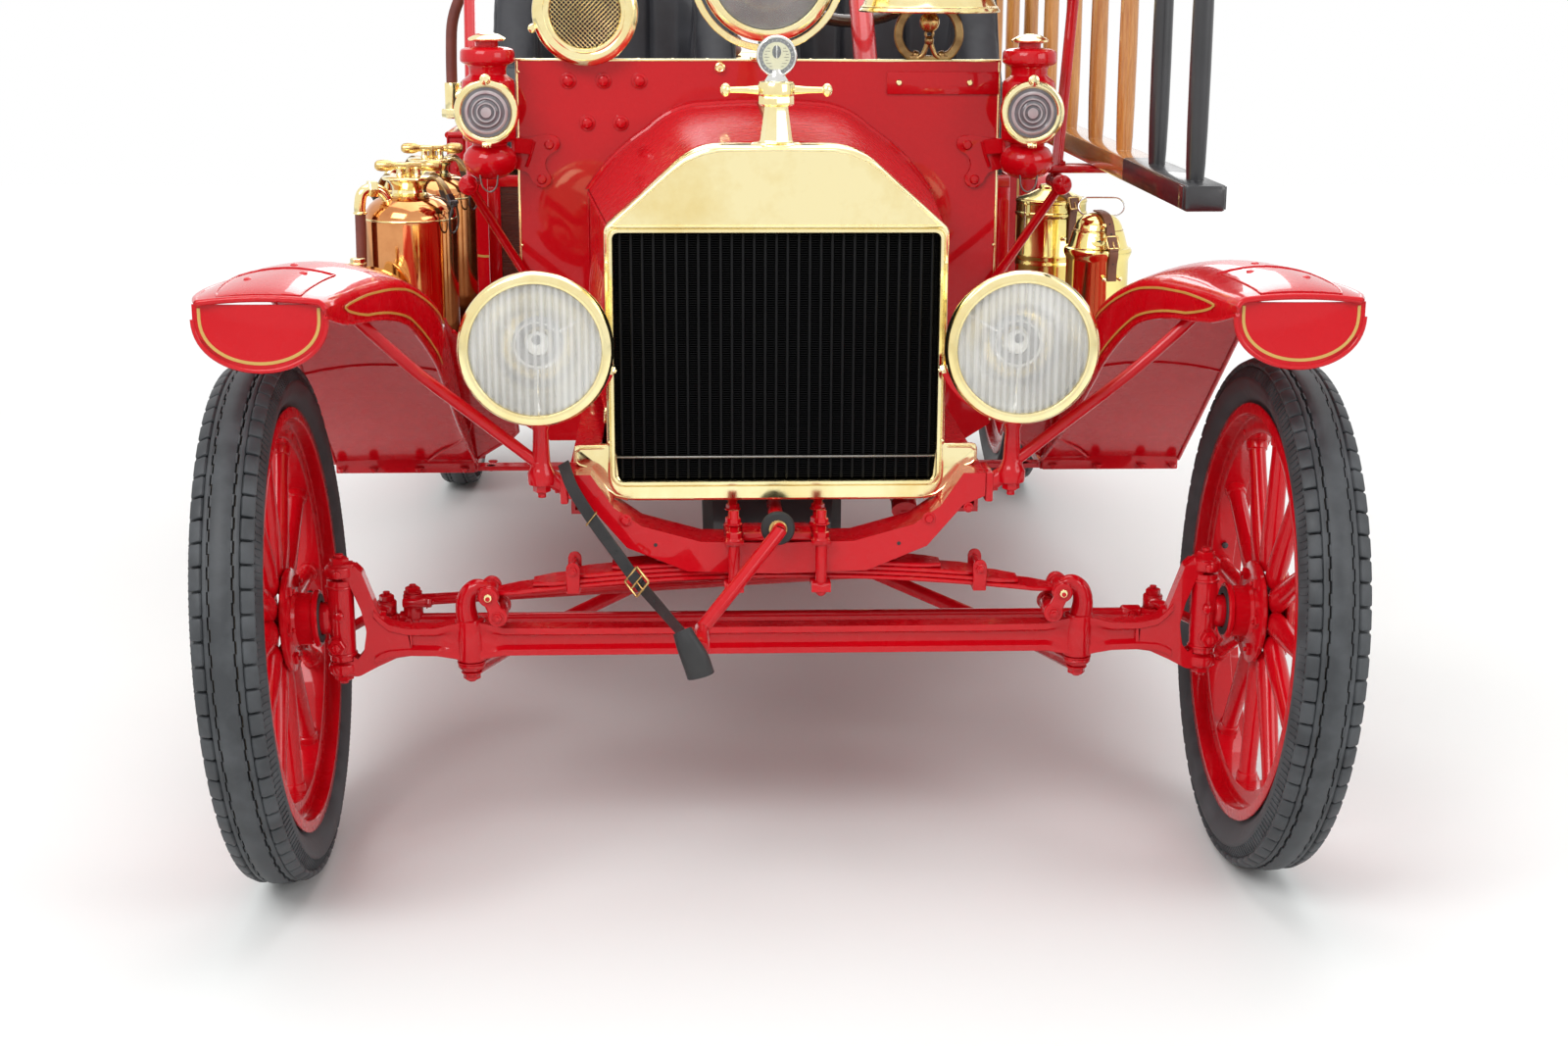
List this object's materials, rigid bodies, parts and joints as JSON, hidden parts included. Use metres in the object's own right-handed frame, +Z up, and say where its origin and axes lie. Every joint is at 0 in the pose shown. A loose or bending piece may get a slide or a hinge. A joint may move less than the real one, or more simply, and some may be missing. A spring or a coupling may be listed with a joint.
{
  "type": "brass-era motor fire engine",
  "caption": "Open brass-era fire engine on spoked wheels, with steering, opening hood, ladder, chemical tank, extinguishers, lamps, bell and siren.",
  "frame": {"origin": "on the ground at the centre of the whole vehicle's box", "axes": "+Z up, +Y towards the rear along the vehicle's length, +X to the vehicle's own left"},
  "size_m": [1.6334, 3.5459, 1.4986],
  "materials": {
    "red_paint": "gloss",
    "tyre": "matte",
    "brass": "polished",
    "bronze": "satin",
    "copper": "polished",
    "black_metal": "satin",
    "grey_iron": "satin",
    "dark_wood": "gloss",
    "floor_wood": "satin",
    "varnished_wood": "gloss",
    "glass": "clear",
    "black_leather": "satin",
    "hose_rubber": "satin"
  },
  "bodies": {
    "chassis": {"bed_rails": "brass", "bell": "brass", "cans": "brass", "chemical_hose": "hose_rubber", "chemical_hose_coil": "hose_rubber", "chemical_tank": "copper", "cradles": "red_paint", "crank": "red_paint", "engine": "grey_iron", "extinguisher_hose_front": "hose_rubber", "extinguisher_hose_rear": "hose_rubber", "extinguishers": "copper", "firewall": "red_paint", "floor": "floor_wood", "frame_rails": "red_paint", "front_axle": "red_paint", "front_crossmember": "red_paint", "front_fenders": "red_paint", "gas_drum": "brass", "headlamps": "brass", "hood_top": "red_paint", "hose_bed": "red_paint", "hose_nozzle": "brass", "ladder": "varnished_wood", "ladder_hangers": "red_paint", "lamp_brackets": "red_paint", "lamp_lenses": "glass", "radiator_cap": "brass", "radiator_core": "black_metal", "radiator_shell": "brass", "radius_rods": "red_paint", "rear_axle": "red_paint", "rear_fenders": "red_paint", "running_boards": "red_paint", "seat_backs": "black_leather", "seat_box": "red_paint", "seat_cushions": "black_leather", "side_lamps": "red_paint", "signal_posts": "bronze", "siren": "brass", "springs": "red_paint", "steering_column": "red_paint", "tail_step": "red_paint"},
    "knuckle_left": {"knuckle_left": "red_paint"},
    "knuckle_right": {"knuckle_right": "red_paint"},
    "tie_rod": {"tie_rod": "red_paint"},
    "pitman": {"pitman_arm": "red_paint"},
    "hand_wheel": {"hand_wheel": "dark_wood"},
    "hood_left": {"hood_side_left": "red_paint"},
    "hood_right": {"hood_side_right": "red_paint"},
    "searchlight": {"searchlight": "brass", "searchlight_lens": "glass"},
    "wheel_front_left": {"front_wheel_left": "red_paint", "front_tyre_left": "tyre"},
    "wheel_front_right": {"front_wheel_right": "red_paint", "front_tyre_right": "tyre"},
    "wheel_rear_left": {"rear_wheel_left": "red_paint", "rear_tyre_left": "tyre"},
    "wheel_rear_right": {"rear_wheel_right": "red_paint", "rear_tyre_right": "tyre"}
  },
  "joints": [
    {"name": "steer_left", "type": "hinge", "parent": "chassis", "child": "knuckle_left", "pos_m": [0.636, -1.392, 0.382], "axis": [0, 0, 1], "range_deg": [-30, 30]},
    {"name": "steer_right", "type": "hinge", "parent": "chassis", "child": "knuckle_right", "pos_m": [-0.636, -1.392, 0.382], "axis": [0, 0, 1], "range_deg": [-30, 30]},
    {"name": "tie_rod_pivot", "type": "hinge", "parent": "knuckle_left", "child": "tie_rod", "pos_m": [0.588, -1.262, 0.342], "axis": [0, 0, 1], "range_deg": [-33, 33]},
    {"name": "pitman_swing", "type": "hinge", "parent": "chassis", "child": "pitman", "pos_m": [0.205, -1.2116, 0.5028], "axis": [0, 0.8, 0.6], "range_deg": [-30, 30]},
    {"name": "hand_wheel_turn", "type": "hinge", "parent": "chassis", "child": "hand_wheel", "pos_m": [0.205, -0.09, 1.344], "axis": [0, 0.8, 0.6], "range_deg": [-120, 120]},
    {"name": "front_wheel_spin_left", "type": "hinge", "parent": "knuckle_left", "child": "wheel_front_left", "pos_m": [0.72762, -1.392, 0.38064], "axis": [0.999, 0, -0.0436], "continuous": true},
    {"name": "rear_wheel_spin_left", "type": "hinge", "parent": "chassis", "child": "wheel_rear_left", "pos_m": [0.711, 1.148, 0.381], "axis": [1, 0, 0], "continuous": true},
    {"name": "front_wheel_spin_right", "type": "hinge", "parent": "knuckle_right", "child": "wheel_front_right", "pos_m": [-0.72762, -1.392, 0.38064], "axis": [0.999, 0, 0.0436], "continuous": true},
    {"name": "rear_wheel_spin_right", "type": "hinge", "parent": "chassis", "child": "wheel_rear_right", "pos_m": [-0.711, 1.148, 0.381], "axis": [1, 0, 0], "continuous": true},
    {"name": "hood_hinge_left", "type": "hinge", "parent": "chassis", "child": "hood_left", "pos_m": [0.244, -1.2967, 0.9431], "axis": [-0.0804, -0.9965, 0.0244], "range_deg": [0, 48]},
    {"name": "hood_hinge_right", "type": "hinge", "parent": "chassis", "child": "hood_right", "pos_m": [-0.244, -1.2967, 0.9431], "axis": [-0.0804, 0.9965, -0.0244], "range_deg": [0, 48]},
    {"name": "searchlight_pan", "type": "hinge", "parent": "chassis", "child": "searchlight", "pos_m": [0.014, -0.592, 1.3], "axis": [0, 0, 1], "range_deg": [-75, 75]}
  ],
  "couplings": [
    {"joint": "steer_right", "follows": "steer_left", "ratio": 1},
    {"joint": "tie_rod_pivot", "follows": "steer_left", "ratio": -1.076},
    {"joint": "pitman_swing", "follows": "steer_left", "ratio": 1},
    {"joint": "hand_wheel_turn", "follows": "steer_left", "ratio": 4}
  ]
}
